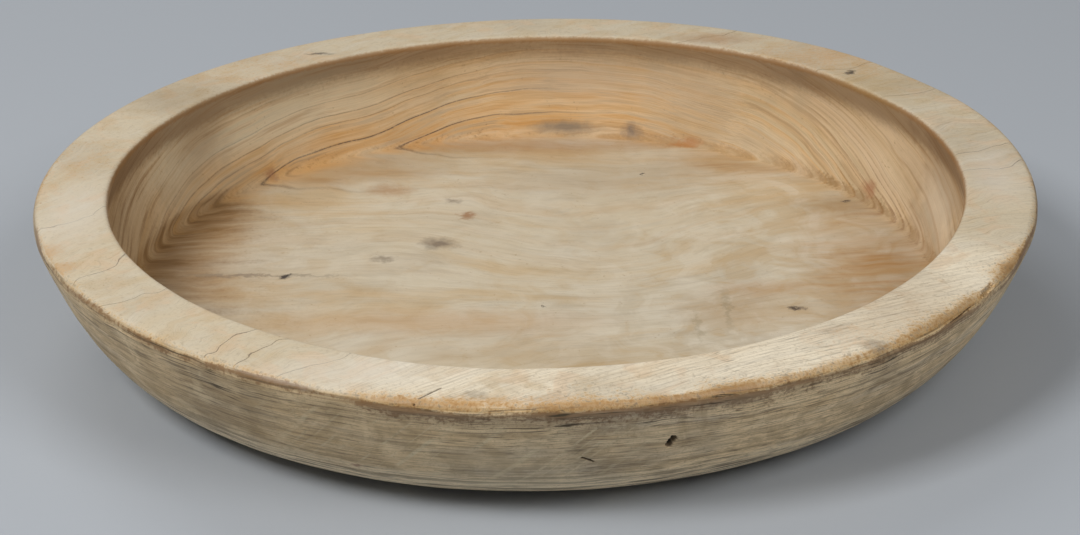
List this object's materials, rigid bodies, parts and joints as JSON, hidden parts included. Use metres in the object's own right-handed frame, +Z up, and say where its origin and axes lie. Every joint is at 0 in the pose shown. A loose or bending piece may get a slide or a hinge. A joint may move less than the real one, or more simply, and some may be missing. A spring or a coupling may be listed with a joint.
{
  "type": "dairy bowl",
  "caption": "Wide, shallow turned wooden bowl with a broad flat rim, a hollowed wall that runs in under the lip and a flat floor, for standing milk while its cream rises.",
  "frame": {"origin": "middle of the flat base, on the surface that the bowl stands on", "axes": "+Z up, square to the base; the timber's grain, and the longer diameter, run 22 degrees anticlockwise from +X"},
  "size_m": [0.6094, 0.5906, 0.089],
  "materials": {
    "timber": "bare hardwood, bleached and worn, with a dull polish and brown staining on the rim's edge"
  },
  "bodies": {
    "root": {"bowl": "timber"}
  },
  "joints": []
}
